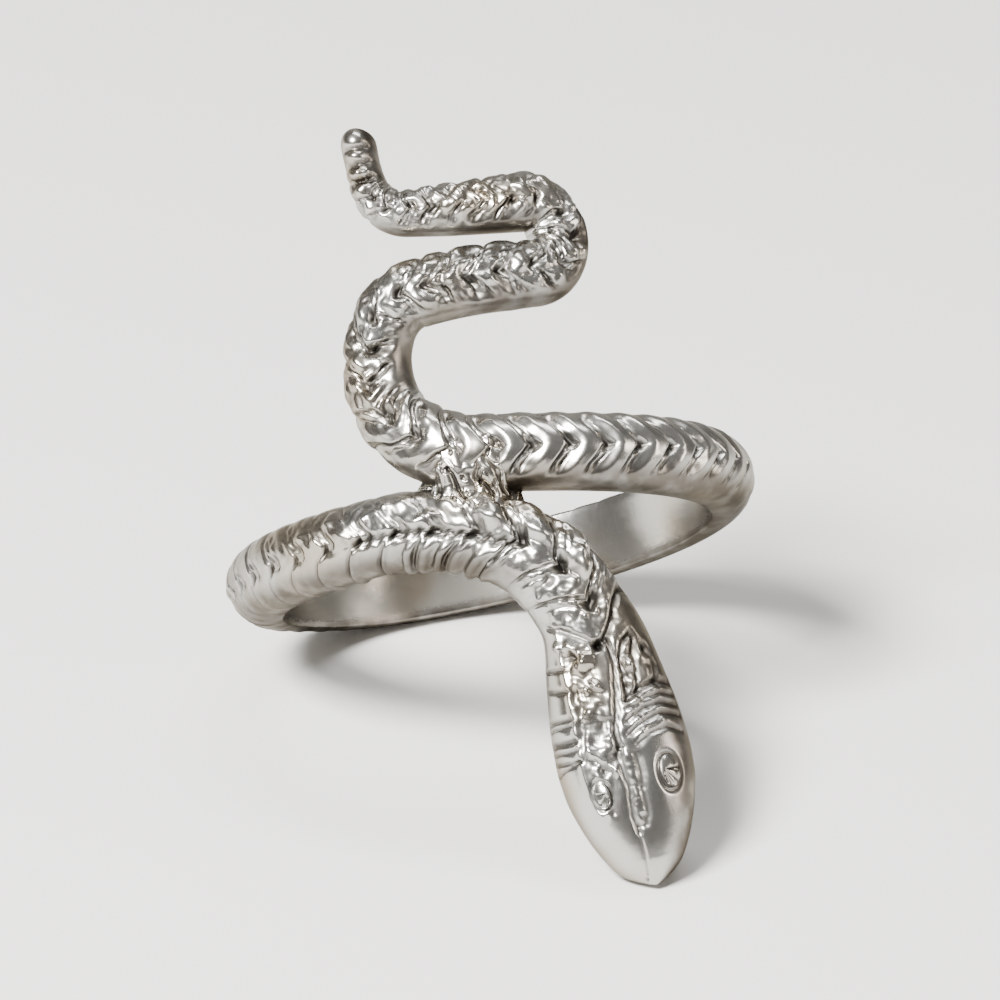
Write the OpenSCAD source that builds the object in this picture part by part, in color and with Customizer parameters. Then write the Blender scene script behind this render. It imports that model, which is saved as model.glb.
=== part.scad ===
// Snake wrap ring, one solid silver casting.
// The snake goes once round the finger. Its neck drops and carries the head down the
// finger, its tail rises in an S and ends in a small upright tip. The ring lies as it
// does by itself, on its snout and on the back of its band. Millimetres, +Z up.

/* [Finger] */
// Inside diameter of the band, US size 7
bore_d = 17.3; // [15:0.1:21]

/* [Body] */
// Width of the snake's body
body_w = 2.95; // [2.5:0.05:3.4]
// Thickness of the body, from the finger to the crest of the back
body_t = 1.95; // [1.5:0.05:2.6]
// Length of a row of scales on the body
scale_l = 1.55; // [1.2:0.05:2.4]
// Depth of the grooves between the rows of scales
groove_d = 0.24; // [0.1:0.02:0.36]
// How far the point of a V of scales lies ahead of its ends
vee_l = 1.15; // [0.6:0.05:1.5]
// Depth of the pit behind the point of each V
pit_d = 0.14; // [0:0.02:0.3]
// How much further than its neighbours every second row of scales stands out at each side
row_swell = 0.12; // [0:0.02:0.2]

/* [Head] */
// Straight length of the head, from the snout to the neck
head_l = 8.8; // [7:0.1:11]
// Width of the head across the jaws
head_w = 5.2; // [4.2:0.1:6]
// Thickness of the head at the eyes
head_t = 2.35; // [1.9:0.05:2.9]
// Turn of the head about its own length, towards the middle of the front
head_roll = -12; // [-16:1:0]
// Depth of the groove down the middle of the head
crown_groove_d = 0.4; // [0.1:0.02:0.6]
// Diameter of an eye where it leaves the cheek
eye_d = 1.15; // [0.8:0.05:1.5]
// Height of an eye above the cheek
eye_h = 0.2; // [0.1:0.02:0.4]

/* [Tail] */
// Width of the tail at the bead of its tip
tip_w = 1.35; // [1:0.05:1.8]
// Thickness of the tail at the bead of its tip
tip_t = 1.25; // [0.9:0.05:1.7]

/* [Join] */
// Space between neck and tail where they pass, which the join fills
seam_gap = 0.2; // [0.14:0.02:0.4]
// Length of the cast join between neck and tail
join_l = 4.2; // [3:0.1:4.8]
// Height of the join above the finger
join_h = 1.6; // [1:0.05:1.8]

/* [Rest] */
// Turn of the ring about the finger at which it settles on the left of its back
rest_turn = -18; // [-40:0.2:0]

/* [Hidden] */

silver = [0.78, 0.77, 0.75];
bore_r = bore_d / 2;
crest_r = bore_r + body_t;
round_l = 2 * PI * crest_r;

function mix(a, b, t) = a + (b - a) * t;
function smooth(a, b, s) = let (t = min(1, max(0, (s - a) / (b - a)))) t * t * (3 - 2 * t);
function column(table, c) = [for (row = table) [row[0], row[c]]];

// Route of the snake's middle line, on the crest cylinder laid out flat: x runs round the
// finger from the middle of the front, and y along it towards the tail.
// Legs of the neck and of the tail: length in body widths, turn in degrees.
NECK_LEGS = [[1.77, -26], [2.12, -60]];
TAIL_LEGS = [
    [4.10, -5], [1.42, -2], [1.12, -34], [0.80, -48], [0.68, -32], [0.81, -54],
    [1.86, -8], [1.56, 184], [1.80, -6], [0.78, -78], [0.72, -12]
];
// The tail starts on the right arm and the neck on the left one. The neck passes
// one body width and the seam below the tail.
tail_dir = 178.5;
tail_start = [5.6 * body_w, -0.03 * body_w];
neck_dir = -2;
pass_rise = 0.774;
neck_start = [-1.5 * body_w, tail_start[1] + (pass_rise - 1) * body_w - seam_gap];

// State of a walk: distance gone, x, y, direction
function step(state, run, turn) =
    let (dir = state[3], bend = run * 180 / (PI * turn))
    let (dx = turn == 0 ? run * cos(dir) : bend * (sin(dir + turn) - sin(dir)))
    let (dy = turn == 0 ? run * sin(dir) : bend * (cos(dir) - cos(dir + turn)))
    [state[0] + run, state[1] + dx, state[2] + dy, dir + turn];
function walk(legs, state, i = 0) =
    i == len(legs) ? [state] : concat([state], walk(legs, step(state, legs[i][0], legs[i][1]), i + 1));
function in_widths(legs) = [for (leg = legs) [leg[0] * body_w, leg[1]]];

neck_legs = concat(in_widths(NECK_LEGS), [[head_l, 0]]);
neck_walk = walk(neck_legs, [0, neck_start[0], neck_start[1], neck_dir]);
neck_l = neck_walk[len(neck_legs)][0];
tail_legs = in_widths(TAIL_LEGS);
tail_walk = walk(tail_legs, [0, tail_start[0], tail_start[1], tail_dir]);
tail_l = tail_walk[len(tail_legs)][0];
back_l = round_l + neck_start[0] - tail_start[0];
tail_from = neck_l + back_l;
snake_l = tail_from + tail_l;

function leg_at(states, s, i) = i == 0 || states[i][0] <= s ? i : leg_at(states, s, i - 1);
function on_walk(legs, states, s) =
    let (i = leg_at(states, s, len(legs) - 1), part = (s - states[i][0]) / legs[i][0])
    let (here = step(states[i], part * legs[i][0], part * legs[i][1]))
    [here[1], here[2], here[3]];
// The back of the band is one smooth curve from the left arm round to the right arm
back_drop = neck_start[1] - tail_start[1];
slope_in = tan(neck_dir);
slope_out = tan(tail_dir);
function on_back(s) =
    let (t = s / back_l)
    let (y = tail_start[1] + (2 * t^3 - 3 * t^2 + 1) * back_drop
        - back_l * ((t^3 - 2 * t^2 + t) * slope_in + (t^3 - t^2) * slope_out))
    let (dy = (6 * t^2 - 6 * t) * back_drop / back_l
        - (3 * t^2 - 4 * t + 1) * slope_in - (3 * t^2 - 2 * t) * slope_out)
    [neck_start[0] - s, y, 180 - atan(dy)];
// Place at distance s from the snout: x, y and the direction towards the tail
function route(s) =
    s < neck_l ? on_walk(neck_legs, neck_walk, neck_l - s) + [0, 0, 180]
    : s < tail_from ? on_back(s - neck_l)
    : on_walk(tail_legs, tail_walk, s - tail_from) - [round_l, 0, 0];

// Head: distance from the snout in head lengths, half width in head widths, then the
// heights of the crest and of the belly in head thicknesses. The belly lies past the
// finger's surface, where the bore cuts it, save at the snout, which curves up.
HEAD = [
    [0.000, 0.10, 0.46, 0.24],
    [0.025, 0.16, 0.52, 0.10],
    [0.055, 0.21, 0.58, 0.01],
    [0.110, 0.27, 0.67, -0.30],
    [0.180, 0.34, 0.76, -0.40],
    [0.280, 0.41, 0.86, -0.40],
    [0.420, 0.48, 0.97, -0.40],
    [0.560, 0.50, 1.00, -0.40],
    [0.720, 0.48, 1.00, -0.40],
    [0.900, 0.41, 0.98, -0.34],
    [1.100, 0.33, 0.94, -0.20]
];
// Tail: share of the tail's length, then how far its width and its thickness have
// gone from the body's to the tip's
TAIL = [
    [0.000, 0.00, 0.00],
    [0.380, 0.05, 0.10],
    [0.480, 0.26, 0.40],
    [0.640, 0.20, 0.45],
    [0.700, 0.42, 0.55],
    [0.770, 0.45, 0.65],
    [0.850, 0.62, 0.80],
    [0.930, 0.90, 0.95],
    [0.960, 1.05, 1.00],
    [0.980, 1.00, 1.00],
    [0.992, 1.18, 1.12],
    [1.000, 1.45, 1.35]
];
HEAD_W = column(HEAD, 1);
HEAD_T = column(HEAD, 2);
HEAD_B = column(HEAD, 3);
TAIL_W = column(TAIL, 1);
TAIL_T = column(TAIL, 2);
neck_from = head_l * 1.1;
neck_to = head_l * 1.95;

function half_w(s) =
    s < neck_to ? mix(lookup(s / head_l, HEAD_W) * head_w, body_w / 2, smooth(neck_from, neck_to, s))
    : mix(body_w, tip_w, lookup((s - tail_from) / tail_l, TAIL_W)) / 2;
function crest_h(s) =
    s < neck_to ? mix(lookup(s / head_l, HEAD_T) * head_t, body_t, smooth(neck_from, neck_to, s))
    : mix(body_t, tip_t, lookup((s - tail_from) / tail_l, TAIL_T));
function roll(s) = head_roll * (1 - smooth(head_l * 0.9, head_l * 1.6, s));

// Half of the cross section, from the belly up to the crest: half width and height of
// the body, half width and height of the head, all as shares
SECTION = [
    [0.94, 0.00, 0.90, 0.00],
    [1.00, 0.26, 1.00, 0.20],
    [0.91, 0.53, 0.93, 0.50],
    [0.73, 0.74, 0.79, 0.77],
    [0.48, 0.90, 0.56, 0.93],
    [0.20, 0.985, 0.15, 1.02],
    [0.00, 1.00, 0.00, 1.00]
];
LEFT = [for (p = SECTION) [-p[0], p[1], -p[2], p[3]]];
RIGHT = [for (i = [len(SECTION) - 2 : -1 : 0]) SECTION[i]];
PROFILE = concat(LEFT, RIGHT);
sides = len(PROFILE);

// The belly of the body lies past the finger's surface too, and lifts off it at the tip
belly_d = 0.3;
tip_lift = 0.12;
function belly(s) =
    s < neck_to ? mix(lookup(s / head_l, HEAD_B) * head_t, -belly_d, smooth(neck_from, neck_to, s))
    : mix(-belly_d, tip_lift, smooth(snake_l - tip_w * 0.8, snake_l, s));

// Rows of scales: each starts where the one before it ends, and its length goes with
// the width of the body
function row_l(s) = scale_l * half_w(s) * 2 / body_w;
rows_from = head_l * 1.05;
rows_to = snake_l - tip_w;
function rows(s) = s + row_l(s) > rows_to ? [s] : concat([s], rows(s + row_l(s)));
ROWS = rows(rows_from);
last_row = ROWS[len(ROWS) - 1];
// Stations in a row: share of the row, then the shares of the groove's depth, of the
// pit's depth and of the row's swelling
ROW_STATIONS = [[0, 1, 0, 0], [0.14, 0.15, 0, 0.6], [0.4, 0, 1, 1], [0.78, 0.25, 0.2, 0.7]];
HEAD_STATIONS = [0, 0.025, 0.055, 0.11, 0.18, 0.25, 0.33, 0.42, 0.5, 0.58, 0.66, 0.76, 0.86, 0.96];
TIP_STATIONS = [0, 0.3, 0.6, 0.8, 0.92, 1];
stations = concat(
    [for (t = HEAD_STATIONS) [t * head_l, 0, 0, 0]],
    [for (i = [0 : len(ROWS) - 2], st = ROW_STATIONS)
        [mix(ROWS[i], ROWS[i + 1], st[0]), st[1], st[2], (i % 2 - 0.5) * st[3]]],
    [for (t = TIP_STATIONS) [mix(last_row, snake_l, t), t == 0 ? 1 : 0, 0, 0]]
);
// The V opens from the nape on and closes before the tail's tip
function vee(s) = vee_l * half_w(s) * 2 / body_w
    * smooth(head_l * 0.6, head_l * 1.2, s) * (1 - smooth(snake_l - tip_w * 3, snake_l - tip_w, s));
function crown_groove(s) = crown_groove_d * smooth(head_l * 0.08, head_l * 0.2, s)
    * (1 - smooth(head_l * 0.9, head_l * 1.05, s));

// Point at distance s from the snout, x across the body and h above the finger
function on_ring(s, x, h) =
    let (p = route(s), turn = p[0] / crest_r * 180 / PI, tip = roll(s))
    let (out = [sin(turn), -cos(turn), 0], round = [cos(turn), sin(turn), 0])
    let (side = -sin(p[2]) * round + [0, 0, cos(p[2])])
    let (across = cos(tip) * side + sin(tip) * out, up = cos(tip) * out - sin(tip) * side)
    bore_r * out + [0, 0, p[1]] + x * across + h * up;

// One point of a station: its row is bent into a V, and groove and pit are cut into it
function skin_point(st, p) =
    let (s0 = st[0], hw = half_w(s0) + row_swell * st[3], flank = abs(p[0]))
    let (crest = crest_h(s0), under = belly(s0), low = max(0, under))
    let (s = s0 + vee(s0) * flank, head = 1 - smooth(head_l * 0.8, head_l * 1.3, s0))
    let (x = mix(p[0], p[2], head) * hw, h = low + mix(p[1], p[3], head) * (crest - low))
    let (mid = flank == 0 ? 1 : flank < 0.25 ? 0.5 : 0)
    let (cut = (groove_d * st[1] + pit_d * st[2] * mid) * min(1, hw * 2 / body_w))
    let (crown = flank == 0 ? crown_groove(s0) : 0)
    p[1] == 0 ? on_ring(s, x, under)
    : on_ring(s, x - sign(x) * cut * flank * 0.7, h - cut * (1 - flank * 0.6) - crown);

SKIN_POINTS = [for (st = stations, p = PROFILE) skin_point(st, p)];
rings = len(stations);
SKIN_FACES = [for (i = [0 : rings - 2], j = [0 : sides - 1])
    let (a = i * sides + j, b = i * sides + (j + 1) % sides)
    each [[a, b, a + sides], [b, b + sides, a + sides]]];
snout_face = [for (j = [sides - 1 : -1 : 0]) j];
tip_face = [for (j = [0 : sides - 1]) (rings - 1) * sides + j];

module snake() {
    polyhedron(points = SKIN_POINTS, faces = concat(SKIN_FACES, [snout_face, tip_face]), convexity = 10);
}

// The join is one lump run between neck and tail, broad enough to fill their seam
seam_dir = -16;
seam_mid = [-0.13 * body_w, neck_start[1] + 0.33 * body_w];
join_r = 0.26 * body_w;
module join() {
    hull()
        for (t = [-0.5, 0.5], h = [0, join_h - join_r]) {
            x = seam_mid[0] + t * (join_l - 2 * join_r) * cos(seam_dir);
            y = seam_mid[1] + t * (join_l - 2 * join_r) * sin(seam_dir);
            turn = x / crest_r * 180 / PI;
            translate([(bore_r + h) * sin(turn), -(bore_r + h) * cos(turn), y]) sphere(r = join_r, $fn = 16);
        }
}

// An eye is the cap of a ball sunk in the cheek, square to the cheek's slope
eye_s = 0.45 * head_l;
eye_x = 0.5;
eye_slope = 20;
ball_r = (eye_d * eye_d / 4 + eye_h * eye_h) / (2 * eye_h);
cheek_h = 0.94 * crest_h(eye_s);
module eye(side) {
    sunk = ball_r - eye_h;
    x = eye_x * half_w(eye_s) - sunk * sin(eye_slope);
    translate(on_ring(eye_s, side * x, cheek_h - sunk * cos(eye_slope))) sphere(r = ball_r, $fn = 32);
}

// How the ring lies: turned about the finger, leaned back until snout and band both
// touch the floor, then turned so that its front faces -Y
function turned(p, a) = [p[0] * cos(a) - p[1] * sin(a), p[0] * sin(a) + p[1] * cos(a), p[2]];
function leaned(p, a) = [p[0], p[1] * cos(a) + p[2] * sin(a), p[2] * cos(a) - p[1] * sin(a)];
outer_points = [for (p = SKIN_POINTS) if (norm([p[0], p[1]]) > bore_r) turned(p, rest_turn)];
snout_points = [for (p = outer_points) if (p[1] < 0 && p[2] < -body_w) p];
band_points = [for (p = outer_points) if (p[1] > 0) p];
function low_end(points, a) = min([for (p = points) leaned(p, a)[2]]);
function solve_lean(a, b, n) =
    let (m = (a + b) / 2)
    n == 0 ? m
    : low_end(snout_points, m) < low_end(band_points, m) ? solve_lean(m, b, n - 1) : solve_lean(a, m, n - 1);
lean = solve_lean(20, 60, 14);
face_turn = atan2(sin(rest_turn), cos(rest_turn) * cos(lean));
LAID = [for (p = outer_points) turned(leaned(p, lean), -face_turn)];
low = [for (i = [0 : 2]) min([for (p = LAID) p[i]])];
high = [for (i = [0 : 2]) max([for (p = LAID) p[i]])];

module snake_ring() {
    color(silver)
    translate([-(low[0] + high[0]) / 2, -(low[1] + high[1]) / 2, -low[2]])
    rotate([0, 0, -face_turn])
    rotate([-lean, 0, 0])
    rotate([0, 0, rest_turn])
    difference() {
        union() {
            snake();
            join();
            eye(1);
            eye(-1);
        }
        cylinder(h = 2 * round_l, r = bore_r, center = true, $fn = 128);
    }
}

snake_ring();
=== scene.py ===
import math

import bpy
import numpy as np
from mathutils import Matrix, Vector


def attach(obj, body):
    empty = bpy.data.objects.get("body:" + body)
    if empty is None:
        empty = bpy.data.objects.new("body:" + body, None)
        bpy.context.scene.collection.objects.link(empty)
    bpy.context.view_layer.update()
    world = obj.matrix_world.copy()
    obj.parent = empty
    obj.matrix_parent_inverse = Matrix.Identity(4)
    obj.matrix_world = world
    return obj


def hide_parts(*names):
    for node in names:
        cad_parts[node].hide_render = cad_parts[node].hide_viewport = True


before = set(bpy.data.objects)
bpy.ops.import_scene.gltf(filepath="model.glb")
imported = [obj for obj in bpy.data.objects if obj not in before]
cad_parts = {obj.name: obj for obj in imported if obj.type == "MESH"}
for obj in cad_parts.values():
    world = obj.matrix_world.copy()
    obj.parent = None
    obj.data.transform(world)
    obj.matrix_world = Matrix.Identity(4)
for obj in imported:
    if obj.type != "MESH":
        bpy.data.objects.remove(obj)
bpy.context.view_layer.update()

# The snake's line
# The ring is one silver casting. Its middle line is laid out flat on a cylinder round the
# finger, in millimetres, as the wax was bent: a neck, the band's back and a tail in an S.
bore_r = 8.65
body_w = 2.95
body_t = 1.95
crest_r = bore_r + body_t
round_l = 2 * math.pi * crest_r
head_l = 8.8
seam_gap = 0.2
line_step = 0.05

# The neck's bends, from the left arm to the snout: length, turn in degrees
neck_legs = [(1.77 * body_w, -26), (2.12 * body_w, -60), (head_l, 0)]
# The tail's bends, from the right arm to the tip: length in body widths, turn in degrees
tail_bends = [
    (4.10, -5), (1.42, -2), (1.12, -34), (0.80, -48), (0.68, -32), (0.81, -54),
    (1.86, -8), (1.56, 184), (1.80, -6), (0.78, -78), (0.72, -12),
]
tail_legs = [(length * body_w, turn) for length, turn in tail_bends]
tail_start = (5.6 * body_w, -0.03 * body_w)
tail_heading = 178.5
neck_start = (-1.5 * body_w, tail_start[1] - 0.226 * body_w - seam_gap)
neck_heading = -2


def bend_on(state, length, turn):
    """The state (distance gone, x, y, heading) after a bend of that length and turn."""
    gone, x, y, heading = state
    here, there = math.radians(heading), math.radians(heading + turn)
    if abs(turn) < 1e-9:
        return gone + length, x + length * math.cos(here), y + length * math.sin(here), heading
    r = length / math.radians(turn)
    return (gone + length, x + r * (math.sin(there) - math.sin(here)),
            y + r * (math.cos(here) - math.cos(there)), heading + turn)


def walk(legs, state):
    """The states at the start of each leg and at the end of the last one."""
    states = [state]
    for length, turn in legs:
        states.append(bend_on(states[-1], length, turn))
    return states


neck_walk = walk(neck_legs, (0, *neck_start, neck_heading))
tail_walk = walk(tail_legs, (0, *tail_start, tail_heading))
neck_l = neck_walk[-1][0]
tail_l = tail_walk[-1][0]
back_l = round_l + neck_start[0] - tail_start[0]
tail_from = neck_l + back_l
snake_l = tail_from + tail_l


def place_on_walk(legs, states, s):
    """Where a walk has come to after s millimetres."""
    i = max([k for k in range(len(legs)) if states[k][0] <= s] or [0])
    share = (s - states[i][0]) / legs[i][0]
    return bend_on(states[i], share * legs[i][0], share * legs[i][1])[1:]


def place_on_back(s):
    """The back of the band runs in one soft curve from the neck's line to the tail's."""
    t = s / back_l
    drop = neck_start[1] - tail_start[1]
    slope_in, slope_out = (math.tan(math.radians(a)) for a in (neck_heading, tail_heading))
    y = (tail_start[1] + (2 * t**3 - 3 * t**2 + 1) * drop
         - back_l * ((t**3 - 2 * t**2 + t) * slope_in + (t**3 - t**2) * slope_out))
    rise = ((6 * t**2 - 6 * t) * drop / back_l
            - (3 * t**2 - 4 * t + 1) * slope_in - (3 * t**2 - 2 * t) * slope_out)
    return neck_start[0] - s, y, 180 - math.degrees(math.atan(rise))


def place(s):
    """Where the line is at s millimetres from the snout: x, y and heading in degrees."""
    if s < neck_l:
        x, y, heading = place_on_walk(neck_legs, neck_walk, neck_l - s)
        return x, y, heading + 180
    if s < tail_from:
        return place_on_back(s - neck_l)
    x, y, heading = place_on_walk(tail_legs, tail_walk, s - tail_from)
    return x - round_l, y, heading


line_s = np.arange(-0.5, snake_l + 2, line_step)
line = np.array([place(s) for s in line_s])


def on_finger(s, x, h, roll):
    """Points at distance s from the snout, x across the body and h above the finger."""
    turn = np.interp(s, line_s, line[:, 0]) / crest_r
    rise = np.interp(s, line_s, line[:, 1])
    heading = np.radians(np.interp(s, line_s, line[:, 2]))
    zero = np.zeros_like(turn)
    out = np.stack([np.sin(turn), -np.cos(turn), zero], -1)
    around = np.stack([np.cos(turn), np.sin(turn), zero], -1)
    side = (-np.sin(heading)[..., None] * around
            + np.stack([zero, zero, np.cos(heading)], -1))
    cos, sin = np.cos(roll)[..., None], np.sin(roll)[..., None]
    across, up = cos * side + sin * out, cos * out - sin * side
    middle = bore_r * out + np.stack([zero, zero, rise], -1)
    return middle + x[..., None] * across + h[..., None] * up, across, up


# The snake's skin
# A leaf-shaped head, a round-backed body and a tail that thins to a bead. Its grid bends
# with the rows of scales, whose points lie towards the head.
head_w = 5.2
head_t = 2.35
tip_w = 1.35
tip_t = 1.25
# Share of the head's length, then its half width as a share of head_w, and its crest and its
# underside as shares of head_t
head_table = np.array([
    (0.000, 0.10, 0.46, 0.24), (0.025, 0.16, 0.52, 0.10), (0.055, 0.21, 0.58, 0.01),
    (0.110, 0.27, 0.67, -0.30), (0.180, 0.34, 0.76, -0.40), (0.280, 0.41, 0.86, -0.40),
    (0.420, 0.48, 0.97, -0.40), (0.560, 0.50, 1.00, -0.40), (0.720, 0.48, 1.00, -0.40),
    (0.900, 0.41, 0.98, -0.34), (1.100, 0.33, 0.94, -0.20),
])
# Share of the tail's length, then how far its width and its height have come to the tip's
tail_table = np.array([
    (0.000, 0.00, 0.00), (0.380, 0.05, 0.10), (0.480, 0.26, 0.40), (0.640, 0.20, 0.45),
    (0.700, 0.42, 0.55), (0.770, 0.45, 0.65), (0.850, 0.62, 0.80), (0.930, 0.90, 0.95),
    (0.960, 1.05, 1.00), (1.000, 1.00, 1.00),
])
neck_from, neck_to = 1.1 * head_l, 1.95 * head_l
belly_d = 0.3
tip_lift = 0.12
snout_round = 0.95
tip_round = 0.62
scale_l = 1.565
vee_l = 1.15
vee_starts = (head_l * 0.6, head_l * 1.2)
vee_ends = (snake_l - tip_w * 3, snake_l - tip_w)
head_roll = math.radians(-12)
roll_fades = (head_l * 0.9, head_l * 1.6)
# On the body and on the head: how square the arch is, at what share of the height it springs
# from the walls, and how far the walls draw in. The head's values fade over head_fades
arch_power = (2, 2.35)
spring_share = (0.26, 0.20)
wall_draw = (0.06, 0.10)
head_fades = (head_l * 0.8, head_l * 1.3)
wall_n = 5
belly_n = 7
wall_flank = 0.3
# The relief fades where a tight bend crowds the skin to these shares of its usual length
crowded = (0.1, 0.55)
# The way down over the laid-out line, once the ring lies on its snout
downhill = (0.6, -0.8)
# How softly the inside turns from the finger's cylinder into the body's walls
inner_soft = 0.12


def smooth(a, b, value):
    t = np.clip((value - a) / (b - a), 0, 1)
    return t * t * (3 - 2 * t)


def mix(a, b, t):
    return a + (b - a) * t


def head_curve(s, column):
    """A column of the head's table at s, with the corners between its lines rounded off."""
    reach = np.minimum(0.5, 0.45 * np.maximum(s, 0))
    total = 0
    for step, weight in ((-1, 0.11), (-0.5, 0.22), (0, 0.34), (0.5, 0.22), (1, 0.11)):
        at = (s + step * reach) / head_l
        total = total + weight * np.interp(at, head_table[:, 0], head_table[:, column])
    return total


def half_w(s):
    """Half the snake's width at s."""
    near_head = mix(head_curve(s, 1) * head_w,
                    body_w / 2, smooth(neck_from, neck_to, s))
    on_tail = np.interp((s - tail_from) / tail_l, tail_table[:, 0], tail_table[:, 1])
    return np.where(s < neck_to, near_head, mix(body_w, tip_w, on_tail) / 2)


def crest_h(s):
    """How high its crest stands above the finger at s."""
    near_head = mix(head_curve(s, 2) * head_t,
                    body_t, smooth(neck_from, neck_to, s))
    on_tail = np.interp((s - tail_from) / tail_l, tail_table[:, 0], tail_table[:, 2])
    return np.where(s < neck_to, near_head, mix(body_t, tip_t, on_tail))


def belly_h(s):
    """Where its underside is at s, before the finger's cylinder cuts it."""
    near_head = mix(head_curve(s, 3) * head_t,
                    -belly_d, smooth(neck_from, neck_to, s))
    return np.where(s < neck_to, near_head,
                    mix(-belly_d, tip_lift, smooth(snake_l - tip_w * 0.8, snake_l, s)))


def row_l(s):
    """The length of a row of scales that starts at s: the wider the body, the longer."""
    return scale_l * half_w(s) * 2 / body_w


rows = [head_l * 1.05]
while rows[-1] + row_l(rows[-1]) <= snake_l - tip_w:
    rows.append(float(rows[-1] + row_l(rows[-1])))


def row_stations(first, last, spacing):
    """Stations from row first to row last, with a station on each groove."""
    found = []
    for a, b in zip(rows[first:last], rows[first + 1:last + 1]):
        found.extend(np.linspace(a, b, max(8, round((b - a) / spacing)), endpoint=False))
    return found + [rows[last]]


def skin(stations, arch_n):
    """The snake's skin at these stations, and what the relief needs to know at each point."""
    s0 = np.array(stations)
    ends = (np.sqrt(1 - (1 - np.clip(s0 / snout_round, 0, 1)) ** 2)
            * np.sqrt(1 - np.clip((s0 - snake_l + tip_round) / tip_round, 0, 1) ** 2))
    crest, under = crest_h(s0), belly_h(s0)
    middle = (np.maximum(0, under) + crest) / 2
    half = half_w(s0) * ends
    crest, under = mix(middle, crest, ends), mix(middle, under, ends)
    head = 1 - smooth(*head_fades, s0)
    vee = vee_l * half_w(s0) * 2 / body_w * smooth(*vee_starts, s0) * (1 - smooth(*vee_ends, s0))
    roll = head_roll * (1 - smooth(*roll_fades, s0))
    # The section: an arch that springs from two walls, closed by a flat belly
    arch = np.radians(np.linspace(-90, 90, arch_n))
    wall = np.arange(1, wall_n + 1) / wall_n
    power = 2 / mix(*arch_power, head)[:, None]
    arch_x = np.sign(arch) * np.abs(np.sin(arch)) ** power
    spring = np.maximum(0, under) + mix(*spring_share, head) * (crest - np.maximum(0, under))
    arch_h = spring[:, None] + np.abs(np.cos(arch)) ** power * (crest - spring)[:, None]
    wall_x = 1 - mix(*wall_draw, head)[:, None] * wall**2
    wall_h = mix(spring[:, None], under[:, None], wall)
    belly_x = np.linspace(1, -1, belly_n + 2)[1:-1] * wall_x[:, -1:]
    x = np.concatenate([-wall_x[:, ::-1], arch_x, wall_x, belly_x], 1)
    h = np.concatenate([wall_h[:, ::-1], arch_h, wall_h,
                        np.repeat(under[:, None], belly_n, 1)], 1)
    s = s0[:, None] + vee[:, None] * np.abs(x)
    x = x * half[:, None]
    points, across, up = on_finger(s, x, h, np.repeat(roll[:, None], x.shape[1], 1))
    # For the relief: how far round the section a point is, and which way is out
    flank = np.concatenate([-1 - wall[::-1] * wall_flank, np.sin(arch), 1 + wall * wall_flank,
                            np.zeros(belly_n)])
    fade = np.concatenate([1 - wall[::-1] ** 2, np.ones(arch_n), 1 - wall**2, np.zeros(belly_n)])
    lean = np.clip(flank, -1, 1)
    out = fade[:, None] * (lean[:, None] * across + np.sqrt(1 - lean**2)[:, None] * up)
    pace = np.linalg.norm(np.gradient(points, axis=0), axis=2) / np.gradient(s0)[:, None]
    out = out * smooth(*crowded, pace)[..., None]
    # Its distance from the crest line over the skin, and whether it faces down
    top_n = len(flank) - belly_n
    seam = np.zeros(x.shape)
    seam[:, 1:top_n] = np.cumsum(np.hypot(np.diff(x[:, :top_n]), np.diff(h[:, :top_n])), 1)
    seam[:, :top_n] -= seam[:, top_n // 2][:, None]
    heading = np.radians(np.interp(s, line_s, line[:, 2]))
    facing = -downhill[0] * np.sin(heading) + downhill[1] * np.cos(heading)
    return {"points": points, "out": out, "s": s, "seam": seam, "s0": s0,
            "flank": np.repeat(flank[None], len(s0), 0), "down": facing * np.sign(flank)}


def clear_of_finger(points):
    """The inside is the finger's own cylinder, and the edges that reach it are softened."""
    r = np.hypot(points[..., 0], points[..., 1])
    wanted = (r + bore_r + np.sqrt((r - bore_r) ** 2 + inner_soft**2)) / 2 - inner_soft * 0.1
    wanted = np.maximum(wanted, bore_r)
    return points * np.stack([wanted / r, wanted / r, np.ones_like(r)], -1)


# How the ring lies: turned about the finger, leaned back on its snout and its band, and
# turned again so that its front faces -Y. rest_at puts its box over the origin.
mm = 0.001
rest_turn = -18
rest_lean = -37.543
rest_facing = 22.283
rest_at = (-0.079 * mm, 3.687 * mm, 7.320 * mm)
laid = (Matrix.Translation(rest_at)
        @ Matrix.Rotation(math.radians(rest_facing), 4, "Z")
        @ Matrix.Rotation(math.radians(rest_lean), 4, "X")
        @ Matrix.Rotation(math.radians(rest_turn), 4, "Z")
        @ Matrix.Scale(mm, 4))
laid_np = np.array(laid)


def lay(points):
    """Points round the finger, in millimetres, as points of the ring at rest, in metres."""
    return points @ laid_np[:3, :3].T + laid_np[:3, 3]


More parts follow.
